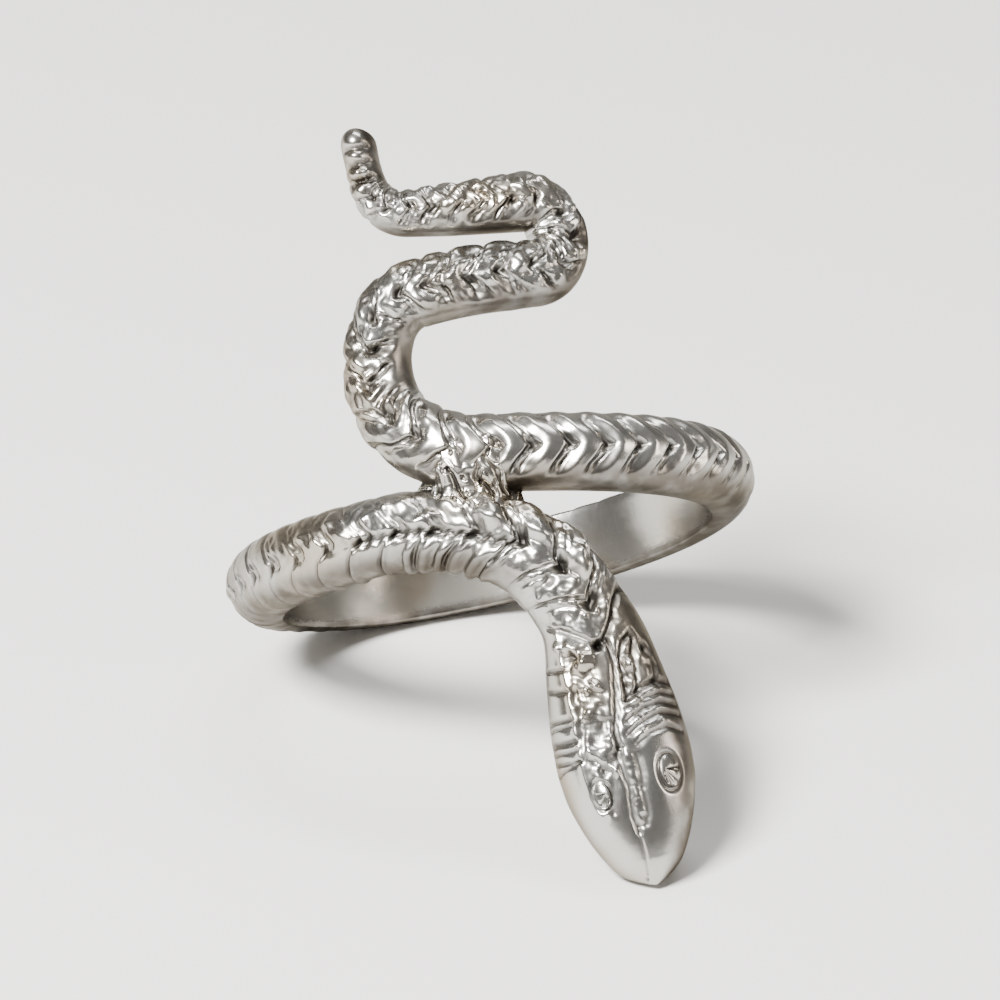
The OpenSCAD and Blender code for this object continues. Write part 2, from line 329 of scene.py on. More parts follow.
def closed_mesh(name, points, values):
    """A mesh over a grid of points whose columns go round, with both its ends closed."""
    rings, columns = points.shape[:2]
    ends = np.stack([points[0].mean(0), points[-1].mean(0)])
    verts = lay(np.concatenate([points.reshape(-1, 3), ends]))
    a = np.arange(rings * columns).reshape(rings, columns)
    b = np.roll(a, -1, 1)
    quads = np.stack([a[:-1], a[1:], b[1:], b[:-1]], -1).reshape(-1, 4)
    n = rings * columns
    caps = [(a[0, j], b[0, j], n) for j in range(columns)]
    caps += [(b[-1, j], a[-1, j], n + 1) for j in range(columns)]
    mesh = bpy.data.meshes.new(name)
    mesh.from_pydata(verts.tolist(), [], quads.tolist() + [tuple(map(int, c)) for c in caps])
    for key, value in values.items():
        kind, field = ("FLOAT_VECTOR", "vector") if value.ndim == 3 else ("FLOAT", "value")
        flat = value.reshape(n, -1)
        flat = np.concatenate([flat, np.zeros((2, flat.shape[1]))]).astype(np.float32)
        mesh.attributes.new(key, kind, "POINT").data.foreach_set(field, flat.ravel())
    mesh.shade_smooth()
    made = bpy.data.objects.new(name, mesh)
    bpy.context.scene.collection.objects.link(made)
    return made


# The silver
# Polished cast silver. Where tools and polish don't reach, between the scales and in the
# folds, it has gone dark and stayed matt.
silver_bright = (0.49, 0.478, 0.45, 1)
silver_warm = (0.41, 0.365, 0.30, 1)
# The brown of the painted shade on the sides of the body that face down
painted_shade_brown = (0.125, 0.113, 0.098, 1)
silver_dark = (0.022, 0.019, 0.016, 1)
silver_edge = (0.45, 0.43, 0.40, 1)
# Noise per metre, and its detail
tone_noise = (260, 2)
shade_patch_noise = (900, 3)
grain_noise = (5200, 3)
warm_from, warm_to = 0.46, 0.7
# Noise levels over which the painted shade on the lower sides goes from its least share to full, so that
# it lies in patches
shade_patch_from, shade_patch_to, shade_patch_least = 0.3, 0.6, 0.6
recess_dark = 0.96
# Roughness: everywhere, and what recesses, the lower sides under the painted shade and grain add to it
polish, recess_dull, low_side_dull, grain_dull = 0.19, 0.26, 0.10, 0.08
# The grain's bump: its depth, and its strength where it is polished and in recesses
grain_depth = 0.03 * mm
grain_bump, recess_bump = 0.08, 0.5


def node(tree, kind, **settings):
    made = tree.nodes.new(kind)
    for key, value in settings.items():
        setattr(made, key, value)
    return made


def feed(tree, value, into):
    """Joins an amount or an output to an input, or sets the input to a plain value."""
    if isinstance(value, Amount):
        value = value.socket
    if isinstance(value, bpy.types.NodeSocket):
        tree.links.new(value, into)
    else:
        into.default_value = value


class Amount:
    """A number that nodes work out at each point. It adds and multiplies as numbers do."""

    def __init__(self, tree, socket):
        self.tree = tree
        self.socket = socket

    def math(self, operation, *values):
        made = node(self.tree, "ShaderNodeMath", operation=operation)
        for into, value in zip(made.inputs, (self, *values)):
            feed(self.tree, value, into)
        return Amount(self.tree, made.outputs[0])

    def __add__(self, other):
        return self.math("ADD", other)

    def __sub__(self, other):
        return self.math("SUBTRACT", other)

    def __rsub__(self, other):
        return self.math("MULTIPLY_ADD", -1, other)

    def __mul__(self, other):
        return self.math("MULTIPLY", other)

    def ease(self, a, b, low=0.0, high=1.0):
        """Goes softly from low to high as the amount goes from a to b."""
        made = node(self.tree, "ShaderNodeMapRange", interpolation_type="SMOOTHSTEP")
        for key, value in (("Value", self), ("From Min", a), ("From Max", b),
                           ("To Min", low), ("To Max", high)):
            feed(self.tree, value, made.inputs[key])
        return Amount(self.tree, made.outputs["Result"])

    def fade(self, a, b, low=0.0):
        """Goes softly from 1 down to low as the amount goes from a to b."""
        return self.ease(a, b, 1, low)

    def between(self, a, b, c, d):
        """1 between b and c, with soft ends out to a and d."""
        return self.ease(a, b) * self.fade(c, d)


def blend(tree, share, a, b):
    """Colour a where the share is 0, and b where it is 1."""
    made = node(tree, "ShaderNodeMix", data_type="RGBA")
    for key, value in (("Factor", share), ("A", a), ("B", b)):
        feed(tree, value, made.inputs[key])
    return made.outputs["Result"]


def silver_finish(name):
    made = bpy.data.materials.new(name)
    made.use_nodes = True
    tree = made.node_tree
    shader = tree.nodes["Principled BSDF"]
    shader.inputs["Metallic"].default_value = 1
    shader.inputs["Specular Tint"].default_value = silver_edge
    place_in = node(tree, "ShaderNodeTexCoord").outputs["Object"]

    def read(key):
        return Amount(tree, node(tree, "ShaderNodeAttribute", attribute_name=key).outputs["Fac"])

    def mottle(scale, detail):
        noise = node(tree, "ShaderNodeTexNoise")
        for key, value in (("Vector", place_in), ("Scale", scale), ("Detail", detail)):
            feed(tree, value, noise.inputs[key])
        return Amount(tree, noise.outputs["Fac"])

    recess, painted_low_shade = read("recess"), read("painted_low_shade")
    tone, shade_patch, grain = mottle(*tone_noise), mottle(*shade_patch_noise), mottle(*grain_noise)
    colour = blend(tree, tone.ease(warm_from, warm_to), silver_bright, silver_warm)
    # Painted shade: the sides that face down are darkened towards a brown, in patches
    colour = blend(tree, painted_low_shade * shade_patch.ease(shade_patch_from, shade_patch_to, shade_patch_least, 1), colour, painted_shade_brown)
    colour = blend(tree, recess * recess_dark, colour, silver_dark)
    feed(tree, colour, shader.inputs["Base Color"])
    dull = recess * recess_dull + painted_low_shade * low_side_dull + grain * grain_dull + polish
    feed(tree, dull, shader.inputs["Roughness"])
    bump = node(tree, "ShaderNodeBump")
    bump.inputs["Distance"].default_value = grain_depth
    feed(tree, recess * recess_bump + grain_bump, bump.inputs["Strength"])
    feed(tree, grain, bump.inputs["Height"])
    feed(tree, bump.outputs["Normal"], shader.inputs["Normal"])
    return made


silver = silver_finish("silver_polished")

# The rows of scales
# Each row is a V-shaped plate, flat at its head end, that slopes to a rounded crescent with a
# fine line in it and a pit behind its point. The neck has lobes, the left arm thin edges.
rows_size = {"Plate height": 0.19 * mm, "Groove depth": 0.13 * mm, "Pit depth": 0.27 * mm,
             "Edge height": 0.12 * mm, "Scallop depth": 0.13 * mm, "Lobe height": 0.3 * mm,
             "Tooth height": 0.19 * mm, "Casting lumps": 0.30 * mm}
# Along a row, in shares of its length from the groove at its head end
groove_edge = (0.018, 0.082)
plate_fall = (0.34, 0.70)
plate_back_up = (0.76, 1.0)
line_at, line_edge = 0.74, (0.01, 0.06)
pit_reach = (0.62, 0.74, 0.86, 0.97)
thin_edge = (0.02, 0.10)
beside_at, beside_edge = 0.14, (0.0, 0.08)
scallop_edge = (0.0, 0.30)
tooth_reach, tooth_end = (0.1, 0.7, 0.8, 1.0), (0.80, 0.95)
# How far a side faces down before it counts as the lower side
down_from = (0.05, 0.5)
# From the crest (0) to either side of the body (1)
grooves_fade, plates_fade, lumps_fade = (0.75, 1.0), (0.85, 1.0), (0.7, 1.0)
back_up_from = (0.12, 0.4)
line_reach = (0.18, 0.32, 0.75, 0.9)
pit_half = (0.08, 0.34)
low_wall_from = (0.55, 0.80)
thin_edges_from = (0.2, 0.4)
scallops_from = (0.5, 0.95)
shade_from = (0.25, 0.8)
# From the neck's right and upper side (-1) over the crest (0) to its left and lower side (1)
bare_from = (-0.15, 0.1)
shoulder_from = (0.0, 0.16)
smooth_from = (0.05, 0.3)
lobe_reach = (-1.0, -0.8, -0.35, -0.1)
teeth_from = (0.35, 0.6)
# Noise per metre, its detail and its seed
row_noise = (900, 1, 11.0)
lump_noise = (1300, 0.6, 3.0)
fine_noise = (3000, 1, 7.0)

rows_inputs = {"Geometry": "NodeSocketGeometry"}
rows_inputs.update({label: "NodeSocketFloat" for label in rows_size})
rows_inputs["Silver"] = "NodeSocketMaterial"
rows_tree = bpy.data.node_groups.new("rows_of_scales", "GeometryNodeTree")
rows_in = {}
for label, kind in rows_inputs.items():
    rows_in[label] = rows_tree.interface.new_socket(label, in_out="INPUT", socket_type=kind)
rows_tree.interface.new_socket("Geometry", in_out="OUTPUT", socket_type="NodeSocketGeometry")


def fill_rows_tree(tree):
    """Raises the skin along its own outward direction, and stores how dark each point is."""
    given = node(tree, "NodeGroupInput").outputs
    by = {label: Amount(tree, given[label]) for label in rows_size}

    def read(name, kind="FLOAT"):
        made = node(tree, "GeometryNodeInputNamedAttribute", data_type=kind)
        made.inputs["Name"].default_value = name
        return Amount(tree, made.outputs["Attribute"])

    def noise(scale, detail, seed):
        made = node(tree, "ShaderNodeTexNoise", noise_dimensions="4D")
        for key, value in (("W", seed), ("Scale", scale), ("Detail", detail)):
            made.inputs[key].default_value = value
        return Amount(tree, made.outputs[0]) - 0.5

    side = read("flank")
    flank = side.math("ABSOLUTE")
    down = read("down").ease(*down_from)
    lumpy, edges, size = read("lumpy"), read("edges"), read("size")

    # The share of the row that a point is at, and a chance number for each row
    row = noise(*row_noise) * lumpy * 0.8 + read("row")
    share = row.math("FRACT")
    near = share.math("MINIMUM", 1 - share)
    chance = node(tree, "ShaderNodeTexWhiteNoise", noise_dimensions="1D")
    feed(tree, read("row").math("FLOOR"), chance.inputs["W"])
    uneven = (Amount(tree, chance.outputs["Value"]) - 0.5) * lumpy

    # Plates and grooves stop where thin edges or the smooth wall take over
    low_wall = flank.ease(*low_wall_from) * down
    edged = flank.ease(*thin_edges_from) * down * edges
    bare = side.ease(*bare_from, 0.7, 0) * edges
    kept = (1 - low_wall.math("MAXIMUM", edged * 0.85)) * (1 - bare)
    groove = near.fade(*groove_edge) * kept * flank.fade(*grooves_fade, 0.25) * (uneven * 0.9 + 1)
    back_up = share.ease(*plate_back_up) * flank.ease(*back_up_from)
    corner = (flank * -3.2 + 1).math("MAXIMUM", 0)
    rounded = corner * corner * -0.12 + share
    fall = rounded.ease(*plate_fall) * (back_up * -0.5 + 1) * kept
    fall = fall * flank.fade(*plates_fade, 0.2) * read("fall") * (uneven * 1.2 + 1)
    line_off = (share - line_at).math("ABSOLUTE")
    fine_line = line_off.fade(*line_edge) * flank.between(*line_reach) * fall
    pit_off = (side + 0.05 + uneven * 0.5).math("ABSOLUTE")
    pit = pit_off.fade(*pit_half) * share.between(*pit_reach) * (1 - edges * 0.6)

    # The left arm's thin edges, with a hollow beside each, and its shoulder
    edged = edged * read("crisp")
    edge = near.fade(*thin_edge) * edged
    beside = (share - beside_at).math("ABSOLUTE").fade(*beside_edge) * edged
    shoulder = side.ease(*shoulder_from) * edges

    # The tail's scalloped side, the neck's lobes and the arm's teeth, two to a row
    scallop = near.fade(*scallop_edge) * flank.ease(*scallops_from) * (1 - down) * lumpy
    round_top = 1 - (share * 2 - 1).math("ABSOLUTE").math("POWER", 2.5)
    lobe = round_top * side.between(*lobe_reach) * read("lobe")
    tooth_share = (row * 2).math("FRACT")
    toothed = side.ease(*teeth_from) * read("tooth")
    tooth = tooth_share.between(*tooth_reach) * toothed
    tooth_drop = tooth_share.ease(*tooth_end) * toothed

    # Lumps of the casting, with creases between them
    rough = read("rough") * (1 - (side.ease(*smooth_from) * edges).math("MAXIMUM", low_wall))
    rough = rough * flank.fade(*lumps_fade, 0.15)
    lump = noise(*lump_noise).math("ABSOLUTE")
    crease = lump.fade(0.0, 0.055) * rough
    lump = lump.math("MINIMUM", lump * 0.35 + 0.11)
    lumps = (lump * 2.4 + noise(*fine_noise) * 0.5 - 0.26) * rough

    height = (0.35 - fall) * by["Plate height"] - groove * by["Groove depth"]
    height = height - (pit + fine_line * 0.35) * by["Pit depth"]
    height = height + (edge - beside * 0.8 - shoulder * 0.9) * by["Edge height"]
    height = height - scallop * by["Scallop depth"] + lobe * by["Lobe height"]
    height = (height + tooth * by["Tooth height"]) * size + lumps * by["Casting lumps"]
    raised = node(tree, "ShaderNodeVectorMath", operation="SCALE")
    feed(tree, read("out", "FLOAT_VECTOR"), raised.inputs[0])
    feed(tree, height, raised.inputs["Scale"])
    moved = node(tree, "GeometryNodeSetPosition")
    feed(tree, given["Geometry"], moved.inputs["Geometry"])
    feed(tree, raised.outputs[0], moved.inputs["Offset"])

    dark = groove * (read("lobe") * -0.45 + 1) + pit + tooth_drop * 0.6 + fine_line * 0.55
    dark = (dark + beside * 0.5) * size.ease(0.0, 0.5)
    dark = dark + crease * 0.5 - lumps * 0.35 + read("recess")
    dark = dark.math("MAXIMUM", 0).math("MINIMUM", 1)
    stored = moved.outputs[0]
    # Besides the dark hollows, stores where the sides that face down get painted shade
    for name, value in (("recess", dark), ("painted_low_shade", flank.ease(*shade_from) * down)):
        keep = node(tree, "GeometryNodeStoreNamedAttribute", data_type="FLOAT", domain="POINT")
        keep.inputs["Name"].default_value = name
        feed(tree, stored, keep.inputs["Geometry"])
        feed(tree, value, keep.inputs["Value"])
        stored = keep.outputs[0]
    whole = node(tree, "GeometryNodeRealizeInstances")
    feed(tree, stored, whole.inputs[0])
    finish = node(tree, "GeometryNodeSetMaterial")
    feed(tree, whole.outputs[0], finish.inputs["Geometry"])
    feed(tree, given["Silver"], finish.inputs["Material"])
    feed(tree, finish.outputs[0], node(tree, "NodeGroupOutput").inputs[0])


fill_rows_tree(rows_tree)


def with_rows(base):
    """The piece as a plain mesh with its rows of scales raised."""
    modifier = base.modifiers.new("rows", "NODES")
    modifier.node_group = rows_tree
    for label, size in rows_size.items():
        modifier[rows_in[label].identifier] = size
    modifier[rows_in["Silver"].identifier] = silver
    seen = base.evaluated_get(bpy.context.evaluated_depsgraph_get())
    made = bpy.data.meshes.new_from_object(seen)
    base.modifiers.clear()
    # No lump reaches under the surface that the ring lies on
    places = np.empty(len(made.vertices) * 3, np.float32)
    made.vertices.foreach_get("co", places)
    places[2::3] = np.maximum(places[2::3], 0)
    made.vertices.foreach_set("co", places)
    made.update()
    base.data = made
    made.shade_smooth()
    return base


# Stretches of the snake, in millimetres from the snout: where each kind of relief comes in
# or gives out, or where it comes in and gives out again
neck_lobes = (8.6, 9.6, 15, 17)
arm_teeth = (14, 15, 18.3, 19.6)
arm_edges = (14.5, 16.5, 36, 44)
edges_soften = (21, 26)
neck_lumps, arm_calms = (9, 10), (22, 28)
tail_lumps, tail_wavers = (83, 88), (81, 86)
plates_deepen, plates_wear = (66, 74), (84, 88)
left_pebbles, right_pebbles = (3.9, 4.6, 9.2, 9.9), (6.6, 7.2, 9.2, 9.9)
# How lumpy the neck is, by what share the arm is calmer, how lumpy the tail is, and the least
neck_rough, arm_calm, tail_rough, least_rough = 0.6, 0.85, 1.1, 0.08
# The pebbled strips of the crown, in millimetres from the crest line
left_strip, right_strip = (0.4, 0.7, 1.6, 1.85), (0.15, 0.4, 1.5, 1.9)


def stretch(a, b, c, d, value):
    """1 between b and c, with soft ends out to a and d."""
    return smooth(a, b, value) * (1 - smooth(c, d, value))


def relief_values(grid, recess):
    """What the rows' node tree reads at each point of a piece of the snake's skin."""
    s0, s, c = grid["s0"], grid["s"], grid["seam"]
    last = rows[-1]
    row = np.interp(s0, rows, np.arange(len(rows)))
    row = np.where(s0 < rows[0], (s0 - rows[0]) / scale_l, row)
    size = (half_w(s0) * 2 / body_w) ** 0.8 * smooth(rows[0] - 0.2, rows[1] + 0.4, s0)
    size = size * (1 - smooth(last - 0.3, last, s0))
    lumps = neck_rough * smooth(*neck_lumps, s0) * (1 - arm_calm * smooth(*arm_calms, s0))
    lumps = lumps + tail_rough * smooth(*tail_lumps, s0)
    lumps = lumps * (1 - smooth(last - 1, last + 0.5, s0))
    lumps = least_rough * smooth(*neck_lumps, s0) + (1 - least_rough) * lumps
    left_crown = stretch(*left_strip, c) * stretch(*left_pebbles, s)
    right_crown = 0.7 * stretch(*right_strip, -c) * stretch(*right_pebbles, s)
    rough = np.maximum(np.maximum(left_crown, right_crown), lumps[:, None])
    along = {"row": row, "size": size, "edges": stretch(*arm_edges, s0),
             "lumpy": mix(0.25, 1, smooth(*tail_wavers, s0)),
             "fall": 0.45 + 0.75 * smooth(*plates_deepen, s0) - 0.35 * smooth(*plates_wear, s0),
             "lobe": stretch(*neck_lobes, s0), "tooth": stretch(*arm_teeth, s0),
             "crisp": mix(1, 0.3, smooth(*edges_soften, s0))}
    top = np.ones(grid["flank"].shape)
    top[:, -belly_n:] = 0
    values = {key: value[:, None] * top for key, value in along.items()}
    values.update(rough=rough * top, flank=grid["flank"], down=grid["down"],
                  out=turned_out(grid["out"]), recess=recess * top)
    return values


def turned_out(out):
    """Directions round the finger as directions of the ring at rest."""
    return out @ (laid_np[:3, :3] / mm).T


# The head and the neck
# The head is cast with the snake: a groove down its middle, bars and loops on its right
# crown, a pebbled left crown, flat cheeks with fine cuts, and a smooth snout.
head_rows = 3
head_row_step = 0.05
head_arch_n = 91
end_gap = 0.006
snout_l, snout_rings, crown_rings = 1, 26, 130
head_stations = list(np.linspace(end_gap, snout_l, snout_rings, endpoint=False))
head_stations += list(np.linspace(snout_l, rows[0], crown_rings, endpoint=False))
head_grid = skin(head_stations + row_stations(0, head_rows, head_row_step), head_arch_n)


def cut(grid, path, width, depth):
    """A groove of that width and depth along a path of (distance from snout, seam) points."""
    s, c = grid["s"], grid["seam"]
    best = np.full(s.shape, 9.0)
    for (s1, c1), (s2, c2) in zip(path, path[1:]):
        ds, dc = s2 - s1, c2 - c1
        t = np.clip(((s - s1) * ds + (c - c1) * dc) / (ds * ds + dc * dc), 0, 1)
        best = np.minimum(best, np.hypot(s - s1 - t * ds, c - c1 - t * dc))
    return depth * np.exp(-((best / width) ** 2))


def mound(grid, s, c, long, broad, height):
    """A soft lump at s and c, or a pit where the height is below 0."""
    return height * np.exp(-(((grid["s"] - s) / long) ** 2) - ((grid["seam"] - c) / broad) ** 2)


# Path of (millimetres from the snout, millimetres from the crest line), width, depth
head_cuts = [
    ([(9.3, -0.1), (8.4, -0.2), (7.4, -0.02), (6.4, 0.22), (5.8, 0.42), (5.2, 0.4)], 0.10, 0.24),
    ([(5.2, 0.4), (4.8, 0.52), (4.3, 0.48), (3.7, 0.36), (3.2, 0.42), (2.6, 0.46), (2.0, 0.36)],
     0.11, 0.13),
    ([(9.15, 0.3), (9.8, 0.8), (10.6, 1.5), (11.0, 2.0)], 0.13, 0.12),
    ([(9.15, 0.3), (9.7, -0.35), (10.4, -0.9), (10.8, -1.6), (10.8, -2.3)], 0.15, 0.2),
    ([(2.0, 0.36), (1.2, 0.3), (0.45, 0.3)], 0.05, 0.07),
    ([(5.0, -0.1), (4.7, -0.2), (4.1, -0.22), (3.5, -0.14), (2.9, -0.16), (2.5, -0.1), (2.2, 0.04)],
     0.11, 0.11),
    ([(6.9, -0.35), (8.6, -0.5), (9.1, -0.75), (9.35, -1.2)], 0.1, 0.2),
    ([(7.2, -0.9), (8.7, -1.1), (9.2, -1.3)], 0.1, 0.16),
    ([(8.8, -1.7), (8.0, -1.95), (7.3, -1.8)], 0.12, 0.16),
    ([(6.85, -0.25), (7.25, -1.0), (7.45, -1.7), (7.3, -2.5)], 0.12, 0.16),
    ([(6.55, -0.3), (6.85, -1.1), (6.95, -1.8), (6.8, -2.6)], 0.09, 0.12),
    ([(6.1, -0.15), (6.5, -0.95), (6.6, -1.7), (6.4, -2.6)], 0.12, 0.15),
    ([(5.6, -0.1), (6.0, -0.8), (6.2, -1.6), (6.0, -2.6)], 0.11, 0.14),
    ([(5.15, -0.3), (5.5, -0.9), (5.65, -1.7), (5.4, -2.4)], 0.1, 0.1),
    ([(8.6, 1.75), (8.85, 3.3)], 0.07, 0.14),
    ([(7.75, 1.8), (8.1, 3.4)], 0.07, 0.14),
    ([(6.7, 1.95), (6.8, 3.5)], 0.08, 0.16),
    ([(6.45, 1.95), (6.55, 3.5)], 0.06, 0.12),
    ([(5.85, 1.95), (5.95, 3.6)], 0.11, 0.18),
    ([(5.5, 1.95), (5.6, 3.6)], 0.06, 0.13),
    ([(5.05, 1.95), (5.25, 3.7)], 0.07, 0.14),
    ([(5.05, 1.95), (4.75, 3.7)], 0.06, 0.13),
    ([(4.4, 0.85), (3.5, 0.95), (2.9, 1.15)], 0.11, 0.08),
]
# The ridge between the left crown and the cheek
head_ridge = [(11, 1.6), (9.6, 1.75), (7.8, 1.77), (5.9, 1.9), (4.5, 1.93), (3.6, 1.86), (2.8, 1.6)]
ridge_w, ridge_h = 0.13, 0.1
# Distance from the snout, from the crest line, half length, half breadth, height
head_mounds = [
    (8.65, -1.72, 0.2, 0.2, -0.22), (9.25, 0.25, 0.22, 0.16, -0.3), (0.25, 0.35, 0.07, 0.07, -0.12),
    (2.95, 1.4, 0.16, 0.14, 0.09), (4.3, 1.35, 0.2, 0.18, 0.07),
    (8.0, -0.2, 1.0, 0.22, 0.08), (8.2, -0.8, 0.7, 0.14, 0.08), (8.0, -1.4, 0.5, 0.2, 0.07),
    (3.6, -0.75, 1.3, 0.28, 0.05),
]
# How many pebbles, then the reach of each field along, across, and of their half size
pebble_fields = [
    (70, (4.3, 9.6), (0.5, 1.65), (0.09, 0.21)), (24, (9.6, 13.5), (-1.4, 1.8), (0.15, 0.25)),
    (10, (5.8, 9.2), (-2.0, -0.4), (0.14, 0.22)), (18, (4.9, 8.4), (-1.0, -0.1), (0.1, 0.19)),
    (26, (2.1, 5.2), (-0.12, 0.38), (0.07, 0.12)),
]
pebble_seed = 7
# Darkness per millimetre of depth: a cut a fifth of a millimetre deep is fully dark
dark_by_depth = 5


def pebbles(grid):
    """Lumps and pits of uneven size on the crown and the neck, as the wax was left there."""
    rng = np.random.default_rng(pebble_seed)
    total = np.zeros(grid["s"].shape)
    for count, s_range, c_range, r_range in pebble_fields:
        for k in range(count):
            s, c, r = rng.uniform(*s_range), rng.uniform(*c_range), rng.uniform(*r_range)
            sign = 1 if k % 3 else -1
            total += mound(grid, s, c, r, r * rng.uniform(0.6, 1.1), r * 0.6 * sign)
    return total


head_raise = np.zeros(head_grid["s"].shape)
for path, width, depth in head_cuts:
    head_raise -= cut(head_grid, path, width, depth)
head_low = np.clip(-head_raise * dark_by_depth, 0, 1)
for s, c, long, broad, height in head_mounds:
    head_raise += mound(head_grid, s, c, long, broad, height)
    head_low += max(0, -height) * dark_by_depth * mound(head_grid, s, c, long, broad, 1)
pebble = pebbles(head_grid)
head_raise += pebble + cut(head_grid, head_ridge, ridge_w, ridge_h)
# Side, distance from the snout, from the crest line, half length, half breadth
eyes = {"eye_right": (1, 3.95, -1.32, 0.66, 0.47), "eye_left": (-1, 3.62, 1.46, 0.52, 0.34)}
# The groove round an eye: its place and width in shares of the eye, its depth and darkness
rim_at, rim_w, rim_d, rim_dark = 1.08, 0.16, 0.09, 0.5
for eye_side, eye_s, eye_c, eye_long, eye_broad in eyes.values():
    reach = np.hypot((head_grid["s"] - eye_s) / eye_long, (head_grid["seam"] - eye_c) / eye_broad)
    rim = np.exp(-(((reach - rim_at) / rim_w) ** 2))
    head_raise -= rim_d * rim
    head_low = np.clip(head_low + rim_dark * rim, 0, 1)
head_low = np.clip(head_low + np.clip(-pebble * dark_by_depth, 0, 0.9), 0, 1)
head_grid["points"] += head_grid["out"] * head_raise[..., None]
head_grid["points"] = clear_of_finger(head_grid["points"])
head = closed_mesh("head_and_neck", head_grid["points"], relief_values(head_grid, head_low))
head = with_rows(head)
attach(head, "root")
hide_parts("snake_ring")

# The eyes
# Each eye is a low oval dome in the cheek, cast with the head. Three cuts fan out over its
# lower half from the corner next to the crown.
eye_rings, eye_spokes = 30, 64
eye_dome, eye_sink, eye_thick = 0.45, 0.05, 0.35
# The fan's corner in shares of the eye, where it starts and ends and its pitch, in degrees
fan_corner = (0.1, -0.75)
fan_from, fan_to, fan_pitch = 2, 88, 28
fan_sink, fan_depth, lid_depth, lid_width = 0.05, 0.07, 0.06, 5


def eye_points(eye_side, eye_s, eye_c, eye_long, eye_broad):
    """A grid over one eye and under it, and how dark each point is."""
    here = int(np.argmin(np.abs(head_grid["s0"] - eye_s)))
    j = int(np.argmin(np.abs(head_grid["seam"][here, :-belly_n] - eye_c)))
    middle = head_grid["points"][here, j]
    normal = head_grid["out"][here, j] / np.linalg.norm(head_grid["out"][here, j])
    long_way = head_grid["points"][here + 3, j] - head_grid["points"][here - 3, j]
    long_way = long_way - normal * (long_way @ normal)
    long_way = long_way / np.linalg.norm(long_way)
    broad_way = np.cross(normal, long_way)
    outwards = head_grid["points"][here, j - 2 * eye_side] - middle
    broad_way = broad_way * np.sign(broad_way @ outwards)
    reach, angle = np.meshgrid(np.linspace(0.02, 1, eye_rings),
                               np.linspace(0, 2 * math.pi, eye_spokes, endpoint=False),
                               indexing="ij")
    a, b = reach * np.cos(angle), reach * np.sin(angle)
    off_a, off_b = a - fan_corner[0], b - fan_corner[1]
    bearing = np.degrees(np.arctan2(-off_a, off_b))
    inner = 1 - smooth(0.85, 1, reach)
    fan = (bearing > fan_from) * (bearing < fan_to) * smooth(0.1, 0.45, np.hypot(off_a, off_b))
    saw = np.abs(((bearing - fan_from) / fan_pitch) % 1 - 0.5) * 2
    lid = np.exp(-((bearing / lid_width) ** 2)) * smooth(0.1, 0.3, np.hypot(off_a, off_b))
    z = eye_dome * eye_broad * np.sqrt(1 - 0.96 * reach**2) - eye_sink
    z = z - fan * (fan_sink + fan_depth * saw**3) * inner - lid_depth * lid * inner
    low = np.clip(smooth(0.86, 0.98, reach) + fan * saw**6, 0, 1)
    low = np.clip(low + lid, 0, 1)
    points = (middle + (a * eye_long)[..., None] * long_way
              + (b * eye_broad)[..., None] * broad_way + z[..., None] * normal)
    under = points - normal * eye_thick
    points = np.concatenate([points, under[::-1]])
    low = np.concatenate([low, low[::-1] * 0])
    if np.cross(long_way, broad_way) @ normal > 0:
        points, low = points[:, ::-1], low[:, ::-1]
    return points, low


for eye_name, eye_place in eyes.items():
    eye_grid, eye_low = eye_points(*eye_place)
    eye = with_rows(closed_mesh(eye_name, eye_grid, {"recess": eye_low}))
    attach(eye, "root")

# The band and the tail
# From the neck the body goes round the finger, passes above the neck at the front and ends
# in the S of the tail, whose last lumps are smooth beads.
band_row_step = 0.068
band_arch_n = 47
tip_rings = 40
# The tip's beads: how far back from the tip the gap before each is, and its crown
tip_beads = [(0.88, 1.2), (1.5, 1.82), (2.14, 2.45)]
gap_w, gap_depth, gap_dark = 0.12, 0.15, 0.7
bead_c, bead_long, bead_broad, bead_h = 0.05, 0.24, 0.34, 0.1
# Lumps on the left arm, and the wavy cut along its shoulder: first place, pitch, how many
arm_lump_from, arm_lump_pitch, arm_lump_n = 14.2, 0.31, 34
arm_cut_from, arm_cut_pitch, arm_cut_n = 14.6, 0.27, 26
arm_cut_c, arm_cut_wave = 0.22, 0.11
arm_cut_w, arm_cut_depth, arm_cut_dark = 0.11, 0.19, 0.95
arm_seed = 4

band_stations = row_stations(head_rows, len(rows) - 1, band_row_step)
band_stations += list(np.linspace(rows[-1], snake_l - end_gap, tip_rings))[1:]
band_grid = skin(band_stations, band_arch_n)
bead_gap, bead = 0, 0
for gap_back, bead_back in tip_beads:
    bead_gap = bead_gap + np.exp(-(((band_grid["s"] - snake_l + gap_back) / gap_w) ** 2))
    bead = bead + mound(band_grid, snake_l - bead_back, bead_c, bead_long, bead_broad, bead_h)
bead_gap = np.clip(bead_gap, 0, 1) * (1 - smooth(0.55, 0.95, np.abs(band_grid["flank"])))
bead_gap[:, -belly_n:] = 0
arm_rng = np.random.default_rng(arm_seed)
arm_lumps = np.zeros(band_grid["s"].shape)
for k in range(arm_lump_n):
    lump_s = arm_lump_from + k * arm_lump_pitch + arm_rng.uniform(-0.1, 0.1)
    lump_r = arm_rng.uniform(0.17, 0.3) * (1 - 0.3 * (k > 24))
    arm_lumps += mound(band_grid, lump_s, arm_rng.uniform(-1.15, -0.1), lump_r,
                       lump_r * arm_rng.uniform(0.7, 1.1), lump_r * 0.55)
arm_cut_path = []
for k in range(arm_cut_n):
    wave = arm_cut_wave if k % 2 else -arm_cut_wave
    arm_cut_path.append((arm_cut_from + k * arm_cut_pitch,
                         arm_cut_c + wave + arm_rng.uniform(-0.06, 0.06)))
arm_cut = cut(band_grid, arm_cut_path, arm_cut_w, 1.0)
